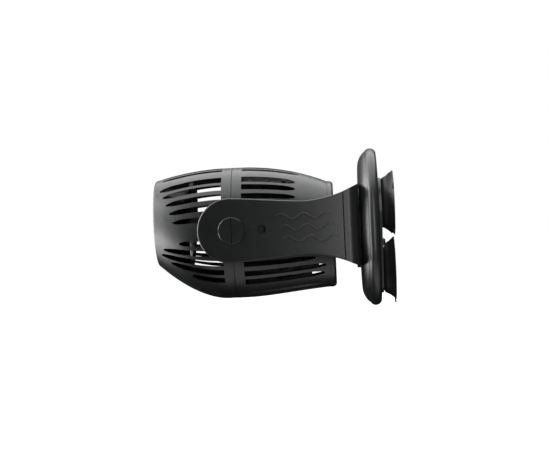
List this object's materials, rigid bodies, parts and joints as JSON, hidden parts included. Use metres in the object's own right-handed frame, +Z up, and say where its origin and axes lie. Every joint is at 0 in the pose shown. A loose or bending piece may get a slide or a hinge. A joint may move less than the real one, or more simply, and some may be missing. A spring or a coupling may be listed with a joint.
{
  "type": "aquarium wave maker pump",
  "caption": "Submersible circulation pump for aquariums: slotted egg-shaped barrel tilting in a yoke that swivels on a round base held to the glass by suction cups.",
  "frame": {"origin": "on the aquarium glass, where the axis of the round base meets it, between the three suction cups", "axes": "+Z up, +X towards the glass along the base's axis, so the pump blows towards -X; the tilt pivot is parallel to Y"},
  "size_m": [0.1129, 0.075, 0.075],
  "materials": {
    "shell_plastic": "satin black moulded plastic",
    "inner_plastic": "satin black moulded plastic, inner pieces",
    "propeller_plastic": "smooth moulded plastic",
    "cup_rubber": "soft black rubber",
    "seal_rubber": "black rubber",
    "stainless": "plain stainless steel",
    "ceramic": "polished white ceramic",
    "core_steel": "laminated steel",
    "bobbin_plastic": "natural nylon",
    "copper_wire": "enamelled copper wire",
    "resin": "cast potting resin",
    "magnet": "sintered ferrite"
  },
  "bodies": {
    "base": {"base_dish": "shell_plastic", "back_plate": "shell_plastic", "back_plate_screws": "stainless", "suction_cup_upper_left": "cup_rubber", "suction_cup_upper_right": "cup_rubber", "suction_cup_lower": "cup_rubber", "cup_retainers": "inner_plastic", "swivel_stud": "inner_plastic", "swivel_nut": "inner_plastic"},
    "bracket": {"bracket_yoke": "shell_plastic", "swivel_washer": "inner_plastic"},
    "pump": {"pivot_washers": "inner_plastic", "front_cage": "shell_plastic", "rear_cage": "shell_plastic", "rear_ring": "shell_plastic", "rear_cap": "shell_plastic", "rear_cap_screws": "stainless", "cable_gland": "seal_rubber", "outlet_nozzle": "inner_plastic", "outlet_guard": "inner_plastic", "front_bush": "seal_rubber", "rear_bush": "seal_rubber", "ceramic_shaft": "ceramic", "thrust_washer": "ceramic", "rotor_well": "inner_plastic", "motor_can": "inner_plastic", "stator_core": "core_steel", "bobbins": "bobbin_plastic", "coil_windings": "copper_wire", "potting": "resin", "motor_end_cover": "inner_plastic", "motor_seal_ring": "seal_rubber", "rubber_mounts": "seal_rubber"},
    "rotor": {"propeller": "propeller_plastic", "rotor_sleeve": "inner_plastic", "rotor_magnet": "magnet"}
  },
  "joints": [
    {"name": "bracket_swivel", "type": "hinge", "parent": "base", "child": "bracket", "pos_m": [-0.0185, 0, 0], "axis": [1, 0, 0], "continuous": true},
    {"name": "pump_tilt", "type": "hinge", "parent": "bracket", "child": "pump", "pos_m": [-0.0755, 0, 0.0014], "axis": [0, 1, 0], "range_deg": [-60, 60]},
    {"name": "impeller_spin", "type": "hinge", "parent": "pump", "child": "rotor", "pos_m": [-0.0755, 0, 0.0032], "axis": [0.9976, 0, -0.0698], "continuous": true}
  ]
}
